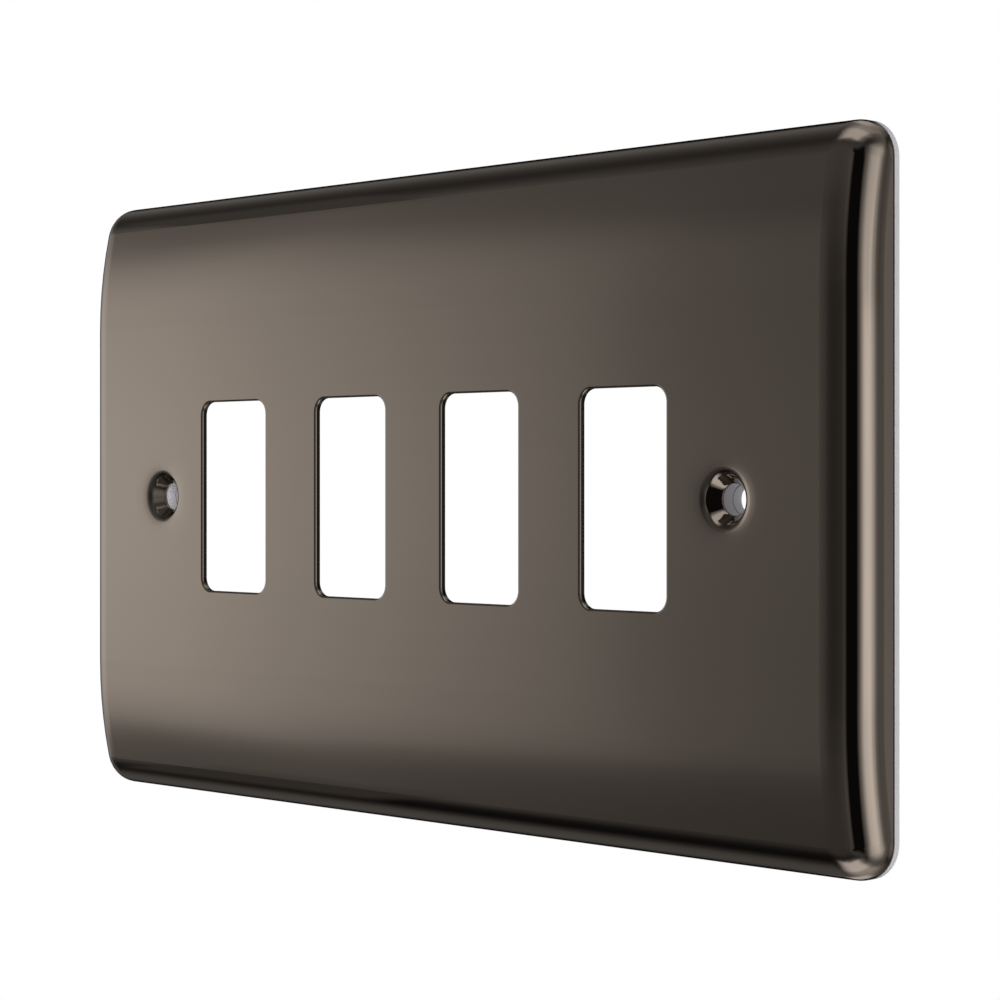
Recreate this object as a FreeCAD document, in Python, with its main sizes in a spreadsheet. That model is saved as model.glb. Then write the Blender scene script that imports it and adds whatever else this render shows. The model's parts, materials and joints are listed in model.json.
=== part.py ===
"""Grid switch plate: a pressed metal front plate on a moulded liner.

Millimetres. The wall is the plane y = 0 and the face looks along -y, with x along the plate and z up.
The origin is the centre of the plate's back.
"""

import FreeCAD, Part
import math
import os

import Sketcher

TOLERANCE = 0.001
# Straight wall that is always left between the rolled edge and the rim
LEAST_SKIRT = 0.1

SIZES = (
    # Pressed front plate
    ("plate_width", 146.0, "overall width"),
    ("plate_height", 86.0, "overall height"),
    ("plate_depth", 6.72, "rim to face"),
    ("sheet_gauge", 0.85, "thickness of the metal sheet"),
    ("corner_radius", 4.5, "corner of the outline"),
    ("fold_radius", 5.2, "outer radius of the rolled edge"),
    ("flat_height", 49.0, "height of the flat band across the face"),
    ("dome_radius", 66.0, "curve of the face above and below the flat band"),
    # Openings for the grid modules
    ("module_count", 4, "apertures in the row"),
    ("module_pitch", 25.04, "from one aperture to the next"),
    ("aperture_width", 14.15, "width of an aperture"),
    ("aperture_height", 26.75, "height of an aperture"),
    ("aperture_corner", 1.9, "corner radius of an aperture"),
    ("aperture_edge", 0.3, "rounding of an aperture's front edge"),
    # Dished screw holes
    ("screw_spacing", 107.6, "between the two screw holes"),
    ("screw_hole", 3.72, "diameter of the hole through the metal"),
    ("hole_edge", 0.25, "punched edge of that hole"),
    ("hole_draft", 0.05, "how far that edge widens towards the front"),
    ("dish_depth", 2.05, "face to the bottom of the dish"),
    ("dish_lip", 1.3, "radius of the rolled lip"),
    ("dish_angle", 52.0, "slope of the dish wall, from the face"),
    # Moulded liner
    ("flange_thickness", 0.85, "flange against the wall"),
    ("groove_width", 0.28, "shadow line between flange and rim"),
    ("groove_depth", 0.6, "how far that line is set in"),
    ("upstand_height", 2.82, "locating wall, from the rim forwards"),
    ("upstand_wall", 1.3, "thickness of the locating wall"),
    ("seat_clearance", 0.15, "between locating wall and rolled edge"),
    ("floor_recess", 2.75, "floor set back from the wall"),
    ("floor_thickness", 1.2, "thickness of the floor"),
    ("window_width", 102.6, "opening for the grid modules"),
    ("window_height", 56.0, "opening for the grid modules"),
    ("window_corner", 2.5, "corner radius of the opening"),
    ("boss_diameter", 5.5, "screw boss under each dish"),
    ("bore_diameter", 3.7, "front of the screw bore"),
    ("bore_throat", 3.5, "rear of the screw bore"),
    ("throat_length", 1.45, "length of the narrower rear bore"),
)

# Lengths worked out from the sheet, as expressions
RIM_HEIGHT = "(Sizes.flange_thickness + Sizes.groove_width)"
FACE_HEIGHT = f"({RIM_HEIGHT} + Sizes.plate_depth)"
BOSS_HEIGHT = f"({FACE_HEIGHT} - Sizes.dish_depth)"
DISH_WALL = "(Sizes.dish_depth - Sizes.hole_edge - Sizes.dish_lip * (1 - cos(Sizes.dish_angle)))"
DISH_REACH = (
    f"(Sizes.screw_hole / 2 + Sizes.hole_draft + {DISH_WALL} / tan(Sizes.dish_angle)"
    " + Sizes.dish_lip * sin(Sizes.dish_angle))"
)
# The rolled edge is no larger than the wall above and below the domed face can end
DOME_SPAN = "((Sizes.plate_height - Sizes.flat_height) / 2)"
DOME_REACH = f"(Sizes.dome_radius - Sizes.plate_depth + {LEAST_SKIRT})"
FOLD_LIMIT = (
    f"(Sizes.dome_radius ^ 2 - {DOME_SPAN} ^ 2 - {DOME_REACH} ^ 2)"
    f" / (2 * (Sizes.dome_radius - {DOME_SPAN}))"
)
FOLD = f"min(Sizes.fold_radius; {FOLD_LIMIT})"


def make_sheet(document):
    """The driving dimensions, one row each: its meaning, then its value under an alias."""
    sheet = document.addObject("Spreadsheet::Sheet", "Sizes")
    for row, (alias, value, meaning) in enumerate(SIZES, 1):
        sheet.set(f"A{row}", meaning)
        sheet.set(f"B{row}", str(value))
        sheet.setAlias(f"B{row}", alias)
    document.recompute()
    return sheet


def new_body(document, name):
    return document.addObject("PartDesign::Body", name)


def new_sketch(body, role, name, **offsets):
    """A sketch on one of the body's own origin planes, moved along that plane's axes by expressions."""
    sketch = body.newObject("Sketcher::SketchObject", name)
    plane = next(item for item in body.Origin.OriginFeatures if item.Role == role)
    sketch.AttachmentSupport = [(plane, "")]
    sketch.MapMode = "FlatFace"
    for axis, expression in offsets.items():
        sketch.setExpression(f".AttachmentOffset.Base.{axis}", expression)
    return sketch


def point(x, y):
    return FreeCAD.Vector(x, y, 0)


def line(start, end):
    return Part.LineSegment(start, end)


def arc(centre, radius, start_angle, end_angle):
    return Part.ArcOfCircle(Part.Circle(centre, FreeCAD.Vector(0, 0, 1), radius), start_angle, end_angle)


def constrain(sketch, kind, *places):
    sketch.addConstraint(Sketcher.Constraint(kind, *places))


def dimension(sketch, name, kind, places, expression):
    """A named constraint driven by an expression on the sheet."""
    value = sketch.evalExpression(expression)
    if kind == "Angle":
        value = math.radians(value)
        expression = f"({expression}) * 1 deg"
    index = sketch.addConstraint(Sketcher.Constraint(kind, *places, value))
    sketch.renameConstraint(index, name)
    sketch.setExpression(f"Constraints.{name}", expression)


def rounded_rectangle(sketch, name, width, height, radius):
    """A rectangle with rounded corners, centred on the sketch's origin. Sizes are expressions."""
    half_width = sketch.evalExpression(width) / 2
    half_height = sketch.evalExpression(height) / 2
    corner = sketch.evalExpression(radius)
    right = half_width - corner
    top = half_height - corner
    quarter = math.pi / 2
    bottom_line, right_line, top_line, left_line = (sketch.GeometryCount + step for step in (0, 2, 4, 6))
    sketch.addGeometry([
        line(point(-right, -half_height), point(right, -half_height)),
        arc(point(right, -top), corner, -quarter, 0),
        line(point(half_width, -top), point(half_width, top)),
        arc(point(right, top), corner, 0, quarter),
        line(point(right, half_height), point(-right, half_height)),
        arc(point(-right, top), corner, quarter, 2 * quarter),
        line(point(-half_width, top), point(-half_width, -top)),
        arc(point(-right, -top), corner, 2 * quarter, 3 * quarter),
    ])
    for side in (bottom_line, right_line, top_line, left_line):
        following = bottom_line if side == left_line else side + 2
        constrain(sketch, "Tangent", side, 2, side + 1, 1)
        constrain(sketch, "Tangent", side + 1, 2, following, 1)
    for side in (bottom_line, top_line):
        constrain(sketch, "Horizontal", side)
    for side in (right_line, left_line):
        constrain(sketch, "Vertical", side)
        constrain(sketch, "Equal", bottom_line + 1, side + 1)
    constrain(sketch, "Equal", bottom_line + 1, top_line + 1)
    constrain(sketch, "Symmetric", bottom_line, 1, top_line, 1, -1, 1)
    dimension(sketch, f"{name}_width", "DistanceX", (left_line, 1, right_line, 1), width)
    dimension(sketch, f"{name}_height", "DistanceY", (bottom_line, 1, top_line, 1), height)
    dimension(sketch, f"{name}_corner", "Radius", (bottom_line + 1,), radius)


def pad(body, sketch, name, length, both_ways=False):
    """Pad towards the face, or half the length each way."""
    feature = body.newObject("PartDesign::Pad", name)
    feature.Profile = sketch
    feature.setExpression("Length", length)
    feature.Midplane = both_ways
    return feature


def pocket(body, sketch, name, length):
    """Pocket towards the wall."""
    feature = body.newObject("PartDesign::Pocket", name)
    feature.Profile = sketch
    feature.setExpression("Length", length)
    return feature


def crowned_block(document, name, inset):
    """The plate's section, flat in the middle and curved above and below, run along the plate.

    The inset is the depth below the outer skin: nothing for the skin itself, the gauge for its inner side.
    """
    body = new_body(document, name)
    sketch = new_sketch(body, "YZ_Plane", f"{name}_section")
    height = f"Sizes.plate_height - 2 * {inset}"
    depth = f"Sizes.plate_depth - {inset}"
    radius = f"Sizes.dome_radius - {inset}"
    rim = -sketch.evalExpression(RIM_HEIGHT)
    face = rim - sketch.evalExpression(depth)
    top = sketch.evalExpression(height) / 2
    dome = sketch.evalExpression(radius)
    flat = sketch.evalExpression("Sizes.flat_height") / 2
    sweep = math.asin((top - flat) / dome)
    edge = face + dome * (1 - math.cos(sweep))
    rear, upper_wall, upper_dome, band, lower_dome, lower_wall = range(6)
    sketch.addGeometry([
        line(point(rim, -top), point(rim, top)),
        line(point(rim, top), point(edge, top)),
        arc(point(face + dome, flat), dome, math.pi - sweep, math.pi),
        line(point(face, flat), point(face, -flat)),
        arc(point(face + dome, -flat), dome, math.pi, math.pi + sweep),
        line(point(edge, -top), point(rim, -top)),
    ])
    constrain(sketch, "Coincident", rear, 2, upper_wall, 1)
    constrain(sketch, "Coincident", upper_wall, 2, upper_dome, 1)
    constrain(sketch, "Tangent", upper_dome, 2, band, 1)
    constrain(sketch, "Tangent", band, 2, lower_dome, 1)
    constrain(sketch, "Coincident", lower_dome, 2, lower_wall, 1)
    constrain(sketch, "Coincident", lower_wall, 2, rear, 1)
    constrain(sketch, "Horizontal", upper_wall)
    constrain(sketch, "Horizontal", lower_wall)
    constrain(sketch, "Equal", upper_dome, lower_dome)
    constrain(sketch, "Symmetric", rear, 1, rear, 2, -1)
    constrain(sketch, "Symmetric", band, 1, band, 2, -1)
    dimension(sketch, "height", "DistanceY", (rear, 1, rear, 2), height)
    dimension(sketch, "flat_band", "DistanceY", (band, 2, band, 1), "Sizes.flat_height")
    dimension(sketch, "dome", "Radius", (upper_dome,), radius)
    dimension(sketch, "depth", "DistanceX", (band, 1, rear, 2), depth)
    dimension(sketch, "rim", "DistanceX", (rear, 2, -1, 1), RIM_HEIGHT)
    pad(body, sketch, f"{name}_run", f"Sizes.plate_width - 2 * {inset}", both_ways=True)
    document.recompute()
    return body


def folded(document, name, block, sheet, inset):
    """Roll the face's edge all round and round the four corners, in one blend."""
    half_width = sheet.plate_width / 2 - inset
    half_height = sheet.plate_height / 2 - inset
    fold = block.evalExpression(FOLD) - inset
    rim = -block.evalExpression(RIM_HEIGHT)
    corner = sheet.corner_radius - inset
    radii = []
    for number, edge in enumerate(block.Shape.Edges, 1):
        middle = edge.valueAt((edge.FirstParameter + edge.LastParameter) / 2)
        at_side = abs(abs(middle.x) - half_width) < TOLERANCE
        at_end = abs(abs(middle.z) - half_height) < TOLERANCE
        before_rim = middle.y < rim - TOLERANCE
        if at_side and at_end:
            radii.append((number, corner, corner))
        elif (at_side or at_end) and before_rim:
            radii.append((number, fold, fold))
    blend = document.addObject("Part::Fillet", name)
    blend.Base = block
    blend.Edges = radii
    return blend


def make_aperture(document, index):
    """The cutter for one module's opening, past the face by the sheet's gauge."""
    name = f"aperture_{index + 1}"
    body = new_body(document, name)
    place = f"({index} - (Sizes.module_count - 1) / 2) * Sizes.module_pitch"
    sketch = new_sketch(body, "XZ_Plane", f"{name}_outline", x=place)
    outline = ("Sizes.aperture_width", "Sizes.aperture_height", "Sizes.aperture_corner")
    rounded_rectangle(sketch, "opening", *outline)
    pad(body, sketch, f"{name}_cut", f"{FACE_HEIGHT} + Sizes.sheet_gauge")
    return body


def make_dish(document, name, side):
    """The sheet pressed in round a screw hole: a rolled lip, a steep wall and a punched edge."""
    body = new_body(document, name)
    place = f"{side} * Sizes.screw_spacing / 2"
    sketch = new_sketch(body, "XY_Plane", f"{name}_section", x=place)
    face = -sketch.evalExpression(FACE_HEIGHT)
    bottom = -sketch.evalExpression(BOSS_HEIGHT)
    gauge = sketch.evalExpression("Sizes.sheet_gauge")
    lip = sketch.evalExpression("Sizes.dish_lip")
    slope = math.radians(sketch.evalExpression("Sizes.dish_angle"))
    hole = sketch.evalExpression("Sizes.screw_hole / 2")
    mouth = hole + sketch.evalExpression("Sizes.hole_draft")
    cut = bottom - sketch.evalExpression("Sizes.hole_edge")
    outer = sketch.evalExpression(DISH_REACH)
    centre = point(outer, face + lip)

    def on_lip(radius):
        return point(outer - radius * math.sin(slope), face + lip - radius * math.cos(slope))

    inner = on_lip(lip - gauge)
    seat = inner.x - (bottom - inner.y) / math.tan(slope)
    turn = 1.5 * math.pi
    front_lip, front_wall, hole_edge, rim, rear_wall, rear_lip, joint = range(7)
    sketch.addGeometry([
        arc(centre, lip, turn - slope, turn),
        line(on_lip(lip), point(mouth, cut)),
        line(point(mouth, cut), point(hole, bottom)),
        line(point(hole, bottom), point(seat, bottom)),
        line(point(seat, bottom), inner),
        arc(centre, lip - gauge, turn - slope, turn),
        line(point(outer, face + gauge), point(outer, face)),
    ])
    constrain(sketch, "Tangent", front_lip, 1, front_wall, 1)
    constrain(sketch, "Coincident", front_wall, 2, hole_edge, 1)
    constrain(sketch, "Coincident", hole_edge, 2, rim, 1)
    constrain(sketch, "Coincident", rim, 2, rear_wall, 1)
    constrain(sketch, "Tangent", rear_wall, 2, rear_lip, 1)
    constrain(sketch, "Coincident", rear_lip, 2, joint, 1)
    constrain(sketch, "Coincident", joint, 2, front_lip, 2)
    constrain(sketch, "Coincident", front_lip, 3, rear_lip, 3)
    constrain(sketch, "Horizontal", rim)
    constrain(sketch, "Vertical", joint)
    constrain(sketch, "PointOnObject", front_lip, 3, joint)
    constrain(sketch, "Parallel", front_wall, rear_wall)
    dimension(sketch, "lip", "Radius", (front_lip,), "Sizes.dish_lip")
    dimension(sketch, "gauge", "DistanceY", (joint, 2, joint, 1), "Sizes.sheet_gauge")
    dimension(sketch, "hole", "DistanceX", (-1, 1, hole_edge, 2), "Sizes.screw_hole / 2")
    dimension(sketch, "edge", "DistanceY", (hole_edge, 1, hole_edge, 2), "Sizes.hole_edge")
    dimension(sketch, "draft", "DistanceX", (hole_edge, 2, hole_edge, 1), "Sizes.hole_draft")
    dimension(sketch, "depth", "DistanceY", (joint, 2, hole_edge, 2), "Sizes.dish_depth")
    dimension(sketch, "face", "DistanceY", (joint, 2, -1, 1), FACE_HEIGHT)
    dimension(sketch, "slope", "Angle", (front_wall,), "180 - Sizes.dish_angle")
    turned = body.newObject("PartDesign::Revolution", f"{name}_turn")
    turned.Profile = sketch
    turned.ReferenceAxis = (sketch, ["V_Axis"])
    turned.Angle = 360
    # The piece of flat sheet that the dish takes the place of, cut half a gauge past each side
    blank = document.addObject("Part::Cylinder", f"{name}_blank")
    blank.setExpression("Radius", DISH_REACH)
    blank.setExpression("Height", "2 * Sizes.sheet_gauge")
    blank.Placement.Rotation = FreeCAD.Rotation(FreeCAD.Vector(1, 0, 0), 90)
    blank.setExpression(".Placement.Base.x", place)
    blank.setExpression(".Placement.Base.y", f"Sizes.sheet_gauge * 3 / 2 - {FACE_HEIGHT}")
    return body, blank


def make_front_plate(document, sheet):
    """One sheet: crowned, rolled at the edges, pierced for the modules and dished at the screws."""
    skin = folded(document, "skin", crowned_block(document, "skin_block", "0"), sheet, 0)
    hollow_block = crowned_block(document, "hollow_block", "Sizes.sheet_gauge")
    hollow = folded(document, "hollow", hollow_block, sheet, sheet.sheet_gauge)
    shell = document.addObject("Part::Cut", "shell")
    shell.Base = skin
    shell.Tool = hollow
    left_dish, left_blank = make_dish(document, "dish_left", -1)
    right_dish, right_blank = make_dish(document, "dish_right", 1)
    apertures = [make_aperture(document, index) for index in range(int(sheet.module_count))]
    openings = document.addObject("Part::MultiFuse", "openings")
    openings.Shapes = [*apertures, left_blank, right_blank]
    pierced = document.addObject("Part::Cut", "pierced")
    pierced.Base = shell
    pierced.Tool = openings
    dished = document.addObject("Part::MultiFuse", "dished")
    dished.Shapes = [pierced, left_dish, right_dish]
    dished.Refine = True
    document.recompute()
    plate = document.addObject("Part::Fillet", "front_plate")
    plate.Base = dished
    plate.Edges = aperture_edges(dished, sheet)
    plate.Label = "front_plate"
    return plate


def aperture_edges(plate, sheet):
    """The edges of the apertures on the front of the face, with their rounding."""
    face = -plate.evalExpression(FACE_HEIGHT)
    row_end = (sheet.module_pitch * (sheet.module_count - 1) + sheet.aperture_width) / 2 + TOLERANCE
    row_top = sheet.aperture_height / 2 + TOLERANCE
    found = []
    for number, edge in enumerate(plate.Shape.Edges, 1):
        box = edge.BoundBox
        in_face = max(abs(box.YMin - face), abs(box.YMax - face)) < TOLERANCE
        in_row = max(-box.XMin, box.XMax) < row_end and max(-box.ZMin, box.ZMax) < row_top
        if in_face and in_row:
            found.append((number, sheet.aperture_edge, sheet.aperture_edge))
    return found


def screw_circles(sketch, name, diameter):
    """One circle about each screw."""
    spacing = sketch.evalExpression("Sizes.screw_spacing")
    radius = sketch.evalExpression(f"{diameter} / 2")
    left, right = (sketch.GeometryCount + step for step in (0, 1))
    for side in (-1, 1):
        sketch.addGeometry(Part.Circle(point(side * spacing / 2, 0), FreeCAD.Vector(0, 0, 1), radius))
    constrain(sketch, "Symmetric", left, 3, right, 3, -1, 1)
    constrain(sketch, "PointOnObject", right, 3, -1)
    constrain(sketch, "Equal", left, right)
    dimension(sketch, f"{name}_spacing", "DistanceX", (left, 3, right, 3), "Sizes.screw_spacing")
    dimension(sketch, f"{name}_diameter", "Diameter", (right,), diameter)


def inset_outline(inset):
    """The plate's outline set in all round by an expression."""
    return f"Sizes.plate_width - 2 * {inset}", f"Sizes.plate_height - 2 * {inset}"


def make_rear_liner(document):
    """One moulding: a flange, a groove under the rim, a locating wall, a floor and two screw bosses."""
    body = new_body(document, "rear_liner")
    body.Label = "rear_liner"
    # The top of the locating wall clears the inside of the rolled edge and of the domed face
    inner_fold = f"({FOLD} - Sizes.sheet_gauge)"
    fold_at_top = f"sqrt(max({inner_fold} ^ 2 - Sizes.upstand_height ^ 2; 0))"
    inner_dome = "(Sizes.dome_radius - Sizes.sheet_gauge)"
    wall_top = "(Sizes.dome_radius - Sizes.plate_depth + Sizes.upstand_height)"
    dome_at_top = f"sqrt({inner_dome} ^ 2 - {wall_top} ^ 2)"
    edge_inset = f"max({FOLD} - {fold_at_top}; {DOME_SPAN} - {dome_at_top})"
    wall_inset = f"({edge_inset} + Sizes.seat_clearance)"
    wall_outline = inset_outline(wall_inset)
    inner_outline = inset_outline(f"({wall_inset} + Sizes.upstand_wall)")
    inner_corner = "Sizes.corner_radius - Sizes.upstand_wall"
    groove_corner = "Sizes.corner_radius - Sizes.groove_depth"

    flange = new_sketch(body, "XZ_Plane", "flange_outline")
    rounded_rectangle(flange, "outer", "Sizes.plate_width", "Sizes.plate_height", "Sizes.corner_radius")
    rounded_rectangle(flange, "inner", *inner_outline, inner_corner)
    pad(body, flange, "flange", "Sizes.flange_thickness")

    groove = new_sketch(body, "XZ_Plane", "groove_outline", z="Sizes.flange_thickness")
    rounded_rectangle(groove, "outer", *inset_outline("Sizes.groove_depth"), groove_corner)
    rounded_rectangle(groove, "inner", *inner_outline, inner_corner)
    pad(body, groove, "groove", "Sizes.groove_width")

    upstand = new_sketch(body, "XZ_Plane", "upstand_outline", z=RIM_HEIGHT)
    rounded_rectangle(upstand, "outer", *wall_outline, "Sizes.corner_radius")
    rounded_rectangle(upstand, "inner", *inner_outline, inner_corner)
    pad(body, upstand, "upstand", "Sizes.upstand_height")

    floor = new_sketch(body, "XZ_Plane", "floor_outline", z="Sizes.floor_recess")
    rounded_rectangle(floor, "outer", *wall_outline, "Sizes.corner_radius")
    rounded_rectangle(floor, "window", "Sizes.window_width", "Sizes.window_height", "Sizes.window_corner")
    pad(body, floor, "floor", "Sizes.floor_thickness")

    bosses = new_sketch(body, "XZ_Plane", "boss_circles", z="Sizes.floor_recess")
    screw_circles(bosses, "boss", "Sizes.boss_diameter")
    pad(body, bosses, "bosses", f"{BOSS_HEIGHT} - Sizes.floor_recess")

    bores = new_sketch(body, "XZ_Plane", "bore_circles", z=BOSS_HEIGHT)
    screw_circles(bores, "bore", "Sizes.bore_diameter")
    pocket(body, bores, "bores", f"{BOSS_HEIGHT} - Sizes.floor_recess - Sizes.throat_length")

    throats = new_sketch(body, "XZ_Plane", "throat_circles", z=BOSS_HEIGHT)
    screw_circles(throats, "throat", "Sizes.bore_throat")
    pocket(body, throats, "throats", BOSS_HEIGHT)
    return body


def check(document, parts):
    """Stop before anything is written if an object failed or a piece is not one valid solid."""
    for item in document.Objects:
        if {"Invalid", "Error"} & set(item.State):
            raise RuntimeError(f"{item.Name} failed: {item.State}")
    for part in parts:
        shape = part.Shape
        if shape.isNull() or not shape.isValid() or len(shape.Solids) != 1:
            raise RuntimeError(f"{part.Label} is not one valid solid")


def main():
    document = FreeCAD.newDocument("grid_switch_plate")
    sheet = make_sheet(document)
    parts = [make_front_plate(document, sheet), make_rear_liner(document)]
    document.recompute()
    check(document, parts)
    os.makedirs("parts", exist_ok=True)
    for part in parts:
        part.Shape.exportStep(f"parts/{part.Label}.step")
        print(part.Label, "volume", round(part.Shape.Volume, 1), "area", round(part.Shape.Area, 1))


main()
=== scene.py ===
"""Grid switch plate: its finishes, the studio round it and the camera.

Metres, in the part's own frame: the wall is y = 0, the face looks along -y and z is up.
Azimuth is turned from straight in front of the face, positive to the right. Angles are in degrees.
"""

import json
import math

import bmesh
import bpy
from mathutils import Matrix, Vector

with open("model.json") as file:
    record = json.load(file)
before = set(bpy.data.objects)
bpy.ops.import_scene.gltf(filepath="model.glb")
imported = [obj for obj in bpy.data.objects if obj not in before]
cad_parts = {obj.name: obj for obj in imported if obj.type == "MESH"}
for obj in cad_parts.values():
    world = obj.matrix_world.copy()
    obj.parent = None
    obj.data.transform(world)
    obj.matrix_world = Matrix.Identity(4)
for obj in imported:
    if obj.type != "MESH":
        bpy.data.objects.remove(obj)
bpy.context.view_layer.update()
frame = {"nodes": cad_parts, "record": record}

# Finishes, as linear colours. A pattern is the scale, detail and roughness of its noise,
# and a span is the range of values that the whole of a finish is spread over.
PATTERN_SPAN = (0.3, 0.7)
METAL_TONES = ((0.436, 0.366, 0.307), (0.467, 0.392, 0.328))
METAL_DRIFT_PATTERN = (12, 2, 0.5)
METAL_ROUGHNESS = (0.035, 0.075)
METAL_HAZE_PATTERN = (60, 5, 0.6)
METAL_RIPPLE_PATTERN = (35, 1, 0.5)
METAL_RIPPLE_DEPTH = 0.000003
LINER_TONES = ((0.545, 0.530, 0.552), (0.610, 0.596, 0.616))
LINER_TONE_SPAN = (0.35, 0.65)
LINER_ROUGHNESS = (0.34, 0.46)
LINER_FLOW_PATTERN = (40, 3, 0.55)
LINER_GRAIN_PATTERN = (2600, 2, 0.5)
LINER_GRAIN_DEPTH = 0.00006
LINER_GRAIN_STRENGTH = 0.12
LINER_REFRACTION = 1.5
LINER_SCATTER_SHARE = 0.25
LINER_SCATTER_RADIUS = (0.0006, 0.0006, 0.0007)
# Painted shade on the liner: where ambient occlusion within this width finds it closed in, its colour is
# darkened towards this tone over this span of the occlusion, with this many samples
PAINTED_CREVICE_SHADE = (0.06, 0.058, 0.06)
PAINTED_SHADE_WIDTH = 0.0008
PAINTED_SHADE_SPAN = (0.3, 0.7)
PAINTED_SHADE_SAMPLES = 32
FLOOR_TONES = ((0.80, 0.80, 0.80), (0.86, 0.86, 0.86))
FLOOR_PATTERN = (9, 4, 0.5)
FLOOR_ROUGHNESS = 0.8

# The sheet's draw-in at the two dishes: its depth, and its share by the distance from the screw's axis
MILLIMETRE = 0.001
screw_holes = next(mount for mount in frame["record"]["mounts"] if mount["name"] == "fixing_screws")
DISH_OFFSET = screw_holes["dims"]["spacing_x_mm"] / 2 * MILLIMETRE
DRAW_DEPTH = 0.000145
DRAW_SHARE = (
    (0.0, 0.5), (0.0015, 0.5), (0.00186, 0.74), (0.0024, 1.0), (0.0029, 0.90), (0.0032, 0.77), (0.0035, 0.65),
    (0.00395, 0.42), (0.0045, 0.192), (0.005, 0.094), (0.006, 0.023), (0.0075, 0.0), (0.010, 0.0),
)

# The soft bend between the flat and the domed part of the face: its height over and under the centre line,
# its reach each way, its depth and the power of its curve
DOME_START = 0.0245
BEND_REACH = 0.0065
BEND_DEPTH = 0.0000535
BEND_POWER = 3.0

# Camera, with its lens and sensor in millimetres
CAMERA_PLACE = Vector((0.25553, -0.23752, 0.00196))
CAMERA_AIM = Vector((-0.72106, 0.69287, 0))
CAMERA_LENS = 95.09
CAMERA_SENSOR = 36.0
CAMERA_SHIFT = -0.01733
CAMERA_NEAREST = 0.01

# Light tent, all in levels: the left, right and back walls by azimuth, each with its fall above and below,
# the arch over the plate by the angle from the front, and its bright right end by the share to the right.
# The left wall gets lower to the left: two azimuths, and what heights are multiplied by at each.
TENT_RADIUS = 0.9
TENT_SUBDIVISIONS = 4
LEFT_WALL = (
    (-180, 0.02), (-128, 0.015), (-112, 0.08), (-100, 0.20), (-92, 0.42), (-87, 0.56), (-75, 0.71),
    (-66, 0.72), (-57.4, 0.665), (-52.5, 0.52), (-47.6, 0.385), (-43, 0.268), (-38.4, 0.160), (-35, 0.138),
    (-29, 0.12), (-5.5, 0.045), (20, 0.03), (40, 0.0), (180, 0.0),
)
LEFT_FALL = (
    (-90, 0.0), (-38, 0.0), (-29, 0.04), (-22, 0.12), (-19.5, 0.19), (-15.2, 0.50), (-11.4, 0.70),
    (-7.8, 0.845), (-5.2, 0.91), (-3.4, 0.95), (0, 1.0), (3.4, 0.945), (5.2, 0.905), (7.8, 0.84),
    (11.5, 0.70), (15.4, 0.505), (19.5, 0.243), (22, 0.14), (29, 0.05), (38, 0.0), (90, 0.0),
)
LEFT_NARROWING = (-58.5, -53.5, 1.12, 1.0)
RIGHT_WALL = (
    (-180, 0.0), (0, 0.0), (24, 0.02), (30, 0.05), (38, 0.13), (46, 0.19), (56, 0.20), (66.5, 0.15),
    (71, 0.29), (75.8, 0.60), (80.6, 0.89), (87, 1.02), (91, 1.02), (100.7, 0.73), (106, 0.53),
    (111.6, 0.24), (117.5, 0.16), (123.7, 0.13), (127, 0.05), (130, 0.025), (180, 0.02),
)
RIGHT_FALL = (
    (-90, 0.0), (-60, 0.0), (-48, 0.1), (-35, 0.5), (-20, 0.85), (-8, 0.95), (-4, 1.0), (0, 1.0),
    (3, 0.96), (5, 0.87), (7, 0.74), (15, 0.68), (25, 0.5), (35, 0.2), (45, 0.0), (90, 0.0),
)
BACK_WALL = ((0, 0.0), (148, 0.0), (158, 0.06), (166, 0.22), (173, 0.40), (180, 0.46))
BACK_FALL = (
    (-90, 0.0), (-50, 0.06), (-32, 0.22), (-15, 0.65), (0, 0.9), (12, 1.0), (30, 0.75), (50, 0.3), (90, 0.1),
)
ARCH = (
    (-180, 0.0), (-150, 0.0), (-140, 0.01), (-132, 0.04), (-122, 0.085), (-110, 0.10), (-96, 0.09),
    (-80, 0.032), (-68, 0.009), (-54, 0.018), (-40, 0.055), (-26, 0.058), (0, 0.0), (20, 0.052), (35, 0.088),
    (50, 0.07), (60, 0.05), (70, 0.038), (80, 0.048), (92, 0.073), (108, 0.125), (120, 0.15), (127, 0.12),
    (132, 0.06), (137, 0.015), (145, 0.0), (180, 0.0),
)
ARCH_END = (
    (-180, 0.0), (-140, 0.0), (-125, 0.1), (-110, 0.3), (-95, 0.45), (-82, 0.8), (-70, 0.8), (-62, 0.35),
    (-50, 0.0), (50, 0.0), (62, 0.3), (70, 0.65), (82, 0.65), (95, 0.35), (110, 0.2), (125, 0.1), (140, 0.0),
    (180, 0.0),
)
ARCH_END_SIDE = (
    (-1.0, 0.0), (-0.5, 0.0), (-0.3, 0.3), (-0.1, 0.85), (0.1, 1.0), (0.3, 1.0), (0.45, 0.5), (0.6, 0.1),
    (0.7, 0.0), (1.0, 0.0),
)

# Cards close to the plate: a corner, the two sides from it, the width of the soft edge and the grey.
# A dark one by the camera, pale ones behind the right end and dim ones over and under the left dish.
CAMERA_CARD = ((0.1053, -0.0715, -0.10), (0.0338, 0.0371, 0), (0, 0, 0.20), 0.009, 0.006)
REFLECTED_CARDS = {
    "right_card": ((0.085, 0.050, -0.09), (0.065, 0, 0), (0, 0, 0.18), 0.030, 0.24),
    "upper_right_card": ((0.000, 0.060, 0.100), (0.070, 0, 0), (0, 0, 0.095), 0.025, 0.60),
    "lower_right_card": ((-0.015, 0.060, -0.100), (0.080, 0, 0), (0, 0, -0.095), 0.025, 0.70),
    "upper_left_card": ((-0.100, -0.042, 0.060), (0.070, 0, 0), (0, 0.032, 0), 0.008, 0.075),
    "lower_left_card": ((-0.100, -0.042, -0.060), (0.070, 0, 0), (0, 0.032, 0), 0.008, 0.055),
}

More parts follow.
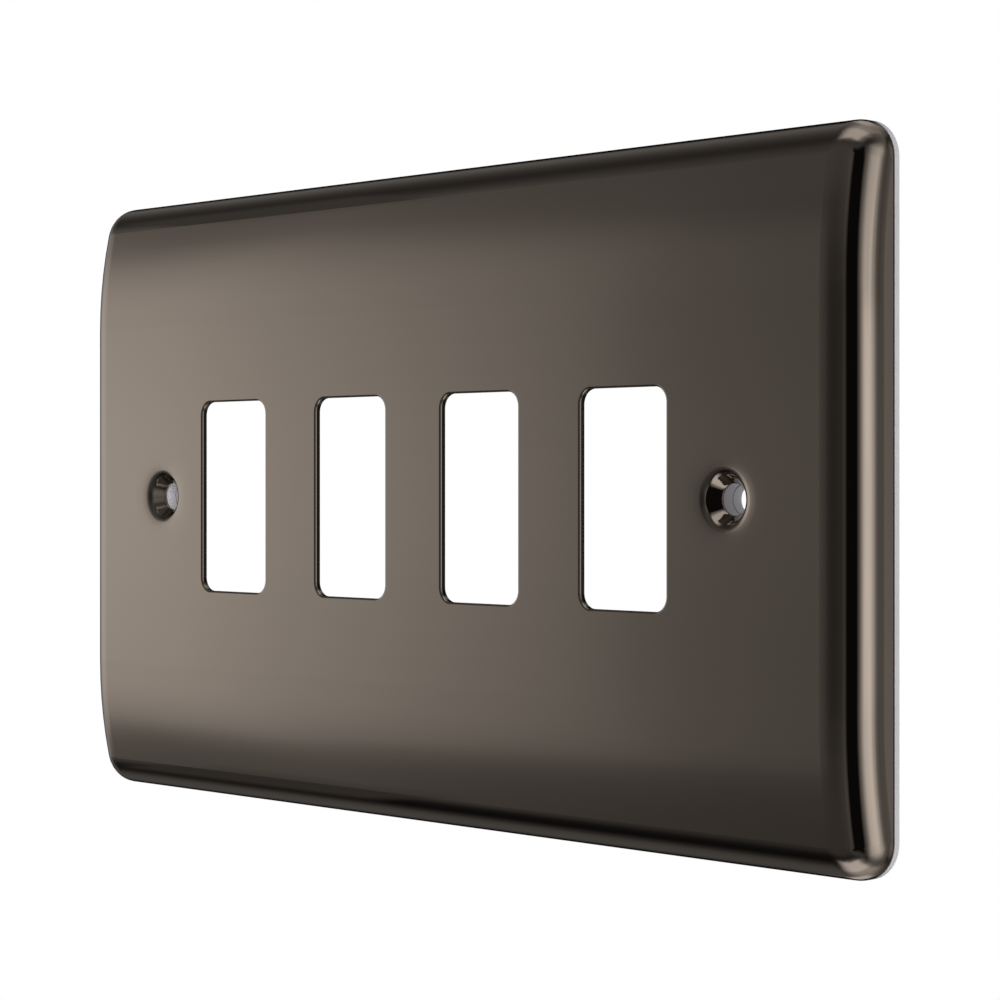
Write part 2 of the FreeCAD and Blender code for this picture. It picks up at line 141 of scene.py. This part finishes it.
# Soft boxes: azimuth, elevation, distance, side of the square and power in watts
LAMPS = {
    "left_softbox": (-80, 20, 0.8, 0.5, 4.0),
    "right_softbox": (52, 8, 0.8, 0.3, 4.5),
    "edge_softbox": (74, 10, 0.8, 0.2, 2.8),
    "back_softbox": (205, 25, 0.8, 0.4, 3.0),
}

# White surroundings: their level as light on the rest, and as they are seen
SURROUNDINGS_LIGHT = 0.36
SURROUNDINGS_SEEN = 1.0

# Floor, with the distance from its middle where its fade starts
FLOOR_LEVEL = -0.25
FLOOR_RADIUS = 0.60
FLOOR_FADE = 0.30
FLOOR_SIDES = 96


def direction(azimuth, elevation):
    """Unit vector from the plate towards an azimuth and elevation."""
    turn = math.radians(azimuth)
    tilt = math.radians(elevation)
    return Vector((math.sin(turn) * math.cos(tilt), -math.cos(turn) * math.cos(tilt), math.sin(tilt)))


class Graph:
    """A material's or world's node tree, with short ways to add and join nodes."""

    def __init__(self, owner):
        owner.use_nodes = True
        self.tree = owner.node_tree
        self.tree.nodes.clear()

    def node(self, kind, settings=None, **inputs):
        made = self.tree.nodes.new(kind)
        for name, value in (settings or {}).items():
            setattr(made, name, value)
        for name, value in inputs.items():
            self.put(made, name.replace("_", " "), value)
        return made

    def put(self, node, key, value):
        """Set an input, by its name or number, or link it if the value is another node's output."""
        socket = node.inputs[key]
        if isinstance(value, bpy.types.NodeSocket):
            self.tree.links.new(value, socket)
        else:
            socket.default_value = value

    def put_in_order(self, node, *values):
        for index, value in enumerate(values):
            self.put(node, index, value)

    def place(self):
        """Where a point is on its own object, which for a CAD node is its place in the frame."""
        return self.node("ShaderNodeTexCoord").outputs["Object"]

    def split(self, vector):
        """The X, Y and Z of a vector."""
        return self.node("ShaderNodeSeparateXYZ", Vector=vector).outputs

    def math(self, operation, *values):
        made = self.node("ShaderNodeMath", {"operation": operation})
        self.put_in_order(made, *values)
        return made.outputs[0]

    def stretch(self, value, low, high, to_low=0.0, to_high=1.0):
        """Map a range of values onto another, held at its ends."""
        made = self.node("ShaderNodeMapRange", {"clamp": True})
        self.put_in_order(made, value, low, high, to_low, to_high)
        return made.outputs[0]

    def curve(self, value, places):
        """Levels by value, on a smooth curve through the given places."""
        low = places[0][0]
        high = places[-1][0]
        made = self.node("ShaderNodeFloatCurve")
        made.mapping.use_clip = False
        points = made.mapping.curves[0].points
        while len(points) < len(places):
            points.new(0.5, 0.5)
        for point, (place, level) in zip(points, places):
            point.location = ((place - low) / (high - low), level)
            point.handle_type = "AUTO_CLAMPED"
        made.mapping.update()
        self.put(made, "Value", self.stretch(value, low, high))
        return made.outputs[0]

    def noise(self, vector, scale, detail, roughness):
        made = self.node("ShaderNodeTexNoise", Vector=vector, Scale=scale, Detail=detail, Roughness=roughness)
        return made.outputs["Fac"]

    def colour(self, factor, first, second):
        """A colour between two. This node has its colours in inputs 6 and 7, and the result in output 2."""
        made = self.node("ShaderNodeMix", {"data_type": "RGBA"})
        self.put(made, 0, factor)
        self.put(made, 6, first)
        self.put(made, 7, second)
        return made.outputs[2]

    def tone(self, factor, tones):
        """A colour between two near tones."""
        return self.colour(factor, (*tones[0], 1), (*tones[1], 1))

    def fade(self, factor, first, second):
        """A surface that turns from the first into the second."""
        made = self.node("ShaderNodeMixShader")
        self.put_in_order(made, factor, first, second)
        return made.outputs[0]

    def clear(self):
        return self.node("ShaderNodeBsdfTransparent").outputs[0]

    def finish(self, surface, kind="ShaderNodeOutputMaterial"):
        self.put(self.node(kind), "Surface", surface)


def sheet_relief(graph, place):
    """Height of the pressed sheet, for shading: its ripple, its draw-in at the dishes and its soft bend."""
    parts = graph.split(place)
    along = graph.math("SUBTRACT", graph.math("ABSOLUTE", parts["X"]), DISH_OFFSET)
    away = graph.math("SQRT", graph.math("MULTIPLY_ADD", along, along, graph.math("POWER", parts["Z"], 2.0)))
    draw = graph.math("MULTIPLY", graph.curve(away, DRAW_SHARE), -DRAW_DEPTH)
    rise = graph.math("SUBTRACT", graph.math("ABSOLUTE", parts["Z"]), DOME_START)
    near = graph.stretch(graph.math("ABSOLUTE", rise), 0, BEND_REACH, 1.0, 0.0)
    turned = graph.math("MULTIPLY_ADD", graph.math("POWER", near, BEND_POWER), BEND_DEPTH, -BEND_DEPTH)
    bend = graph.math("MULTIPLY", graph.math("SIGN", rise), turned)
    ripple = graph.noise(place, *METAL_RIPPLE_PATTERN)
    return graph.math("MULTIPLY_ADD", ripple, METAL_RIPPLE_DEPTH, graph.math("ADD", draw, bend))


def plated_metal():
    """Polished black nickel: a warm dark mirror with faint polishing haze, on a pressed sheet."""
    material = bpy.data.materials.new("plated_metal_polished")
    graph = Graph(material)
    place = graph.place()
    haze = graph.noise(place, *METAL_HAZE_PATTERN)
    drift = graph.noise(place, *METAL_DRIFT_PATTERN)
    bump = graph.node("ShaderNodeBump", Strength=1.0, Distance=1.0, Height=sheet_relief(graph, place))
    shader = graph.node("ShaderNodeBsdfPrincipled", Metallic=1.0)
    graph.put(shader, "Base Color", graph.tone(drift, METAL_TONES))
    graph.put(shader, "Roughness", graph.stretch(haze, *PATTERN_SPAN, *METAL_ROUGHNESS))
    graph.put(shader, "Normal", bump.outputs[0])
    graph.finish(shader.outputs[0])
    return material


def liner_plastic():
    """Natural pale grey moulding: slightly translucent, with flow marks, a fine grain and painted shade in
    its crevices.
    """
    material = bpy.data.materials.new("liner_plastic_moulded")
    graph = Graph(material)
    place = graph.place()
    flow = graph.noise(place, *LINER_FLOW_PATTERN)
    grain = graph.noise(place, *LINER_GRAIN_PATTERN)
    bump = graph.node(
        "ShaderNodeBump", Strength=LINER_GRAIN_STRENGTH, Distance=LINER_GRAIN_DEPTH, Height=grain)
    # Painted shade: ambient occlusion darkens the colour in crevices, such as the groove under the metal's
    # rim
    painted_shade_occlusion = graph.node("ShaderNodeAmbientOcclusion", {"samples": PAINTED_SHADE_SAMPLES}, Distance=PAINTED_SHADE_WIDTH)
    unshaded_share = graph.stretch(painted_shade_occlusion.outputs["AO"], *PAINTED_SHADE_SPAN)
    tone = graph.tone(graph.stretch(flow, *LINER_TONE_SPAN), LINER_TONES)
    shader = graph.node("ShaderNodeBsdfPrincipled", IOR=LINER_REFRACTION)
    graph.put(shader, "Base Color", graph.colour(unshaded_share, (*PAINTED_CREVICE_SHADE, 1), tone))
    graph.put(shader, "Roughness", graph.stretch(flow, *PATTERN_SPAN, *LINER_ROUGHNESS))
    graph.put(shader, "Subsurface Weight", LINER_SCATTER_SHARE)
    graph.put(shader, "Subsurface Radius", LINER_SCATTER_RADIUS)
    graph.put(shader, "Subsurface Scale", 1.0)
    graph.put(shader, "Normal", bump.outputs[0])
    graph.finish(shader.outputs[0])
    return material


def dress_nodes():
    """Give each CAD node its finish. Their meshes are shown as they are."""
    finishes = {"front_plate": plated_metal(), "rear_liner": liner_plastic()}
    for name, material in finishes.items():
        for slot in frame["nodes"][name].material_slots:
            slot.material = material


def stage_mesh(name, build, material):
    """A mesh of the studio, not part of the object."""
    mesh = bpy.data.meshes.new(name)
    shape = bmesh.new()
    build(shape)
    shape.to_mesh(mesh)
    shape.free()
    mesh.materials.append(material)
    thing = bpy.data.objects.new(name, mesh)
    bpy.context.scene.collection.objects.link(thing)
    return thing


def only_in_reflections(thing):
    """Seen in the metal, but not by the camera and not in the way of the light."""
    thing.visible_camera = False
    thing.visible_diffuse = False
    thing.visible_transmission = False
    thing.visible_shadow = False


def tent_material():
    """Soft light panels and dark stretches of the tent, by the direction seen from the plate."""
    material = bpy.data.materials.new("tent_light")
    graph = Graph(material)
    towards = graph.node("ShaderNodeVectorMath", {"operation": "NORMALIZE"})
    graph.put(towards, 0, graph.place())
    parts = graph.split(towards.outputs[0])
    front = graph.math("MULTIPLY", parts["Y"], -1.0)
    azimuth = graph.math("DEGREES", graph.math("ARCTAN2", parts["X"], front))
    turn = graph.math("ABSOLUTE", azimuth)
    height = graph.math("DEGREES", graph.math("ARCSINE", parts["Z"]))
    over = graph.math("DEGREES", graph.math("ARCTAN2", parts["Z"], front))
    left_height = graph.math("MULTIPLY", height, graph.stretch(azimuth, *LEFT_NARROWING))
    left = graph.math("MULTIPLY", graph.curve(azimuth, LEFT_WALL), graph.curve(left_height, LEFT_FALL))
    right = graph.math("MULTIPLY", graph.curve(azimuth, RIGHT_WALL), graph.curve(height, RIGHT_FALL))
    back = graph.math("MULTIPLY", graph.curve(turn, BACK_WALL), graph.curve(height, BACK_FALL))
    walls = graph.math("ADD", graph.math("ADD", left, right), back)
    end = graph.math("MULTIPLY", graph.curve(over, ARCH_END), graph.curve(parts["X"], ARCH_END_SIDE))
    arch = graph.math("ADD", end, graph.curve(over, ARCH))
    level = graph.math("ADD", walls, arch)
    graph.finish(graph.node("ShaderNodeEmission", Strength=level).outputs[0])
    material.cycles.emission_sampling = "NONE"
    return material


def make_tent():
    def build(shape):
        bmesh.ops.create_icosphere(shape, subdivisions=TENT_SUBDIVISIONS, radius=TENT_RADIUS)

    only_in_reflections(stage_mesh("light_tent", build, tent_material()))


def card_material(name, width, height, soft_edge, grey):
    """One even grey, thinning out at the card's edges."""
    material = bpy.data.materials.new(name)
    graph = Graph(material)
    parts = graph.split(graph.place())
    cover = []
    for offset, size in ((parts["X"], width), (parts["Z"], height)):
        inside = graph.math("SUBTRACT", size / 2, graph.math("ABSOLUTE", offset))
        cover.append(graph.stretch(inside, 0, soft_edge))
    paint = graph.node("ShaderNodeEmission", Color=(grey, grey, grey, 1), Strength=1.0)
    graph.finish(graph.fade(graph.math("MULTIPLY", *cover), graph.clear(), paint.outputs[0]))
    material.cycles.emission_sampling = "NONE"
    return material


def make_card(name, corner, across, along, soft_edge, grey):
    """A card that the polished metal mirrors."""
    across = Vector(across)
    along = Vector(along)

    def build(shape):
        x = Vector((across.length / 2, 0, 0))
        z = Vector((0, 0, along.length / 2))
        shape.faces.new([shape.verts.new(place) for place in (-x - z, x - z, x + z, z - x)])

    card = stage_mesh(name, build, card_material(name, across.length, along.length, soft_edge, grey))
    axes = Matrix((across.normalized(), along.cross(across).normalized(), along.normalized())).transposed()
    card.matrix_world = Matrix.Translation(Vector(corner) + (across + along) / 2) @ axes.to_4x4()
    return card


def make_cards():
    """All the cards. The one by the camera also shades the light, so it is hidden only from the camera."""
    make_card("camera_card", *CAMERA_CARD).visible_camera = False
    for name, values in REFLECTED_CARDS.items():
        only_in_reflections(make_card(name, *values))


def floor_material():
    """Pale floor that fades out into the white surroundings."""
    material = bpy.data.materials.new("floor_pale")
    graph = Graph(material)
    place = graph.place()
    distance = graph.node("ShaderNodeVectorMath", {"operation": "LENGTH"})
    graph.put(distance, 0, place)
    shader = graph.node("ShaderNodeBsdfPrincipled", Roughness=FLOOR_ROUGHNESS)
    graph.put(shader, "Base Color", graph.tone(graph.noise(place, *FLOOR_PATTERN), FLOOR_TONES))
    outwards = graph.stretch(distance.outputs["Value"], FLOOR_FADE, FLOOR_RADIUS)
    graph.finish(graph.fade(outwards, shader.outputs[0], graph.clear()))
    return material


def make_floor():
    def build(shape):
        bmesh.ops.create_circle(shape, cap_ends=True, segments=FLOOR_SIDES, radius=FLOOR_RADIUS)

    floor = stage_mesh("floor", build, floor_material())
    floor.location.z = FLOOR_LEVEL
    floor.visible_glossy = False


def make_lamp(name, azimuth, elevation, distance, size, power):
    """A soft box that lights the plate from one side."""
    lamp = bpy.data.lights.new(name, "AREA")
    lamp.size = size
    lamp.energy = power
    thing = bpy.data.objects.new(name, lamp)
    towards = direction(azimuth, elevation)
    thing.location = distance * towards
    thing.rotation_euler = towards.to_track_quat("Z", "Y").to_euler()
    thing.visible_glossy = False
    bpy.context.scene.collection.objects.link(thing)


def make_world():
    """Surroundings that are white where they are seen or mirrored, and give a softer light to the rest."""
    world = bpy.data.worlds.new("surroundings")
    bpy.context.scene.world = world
    graph = Graph(world)
    path = graph.node("ShaderNodeLightPath").outputs
    direct = graph.math("ADD", path["Is Camera Ray"], path["Is Transmission Ray"])
    seen = graph.math("ADD", direct, path["Is Glossy Ray"])
    background = graph.node("ShaderNodeBackground", Color=(1, 1, 1, 1))
    graph.put(background, "Strength", graph.stretch(seen, 0, 1, SURROUNDINGS_LIGHT, SURROUNDINGS_SEEN))
    graph.finish(background.outputs[0], "ShaderNodeOutputWorld")


def make_camera():
    lens = bpy.data.cameras.new("photo_camera")
    lens.sensor_width = CAMERA_SENSOR
    lens.lens = CAMERA_LENS
    lens.shift_y = CAMERA_SHIFT
    lens.clip_start = CAMERA_NEAREST
    camera = bpy.data.objects.new("photo_camera", lens)
    camera.location = CAMERA_PLACE
    camera.rotation_euler = CAMERA_AIM.to_track_quat("-Z", "Y").to_euler()
    bpy.context.scene.collection.objects.link(camera)
    bpy.context.scene.camera = camera


dress_nodes()
make_tent()
make_cards()
make_floor()
for lamp_name, lamp_values in LAMPS.items():
    make_lamp(lamp_name, *lamp_values)
make_world()
make_camera()
bpy.context.scene.view_settings.view_transform = "Standard"
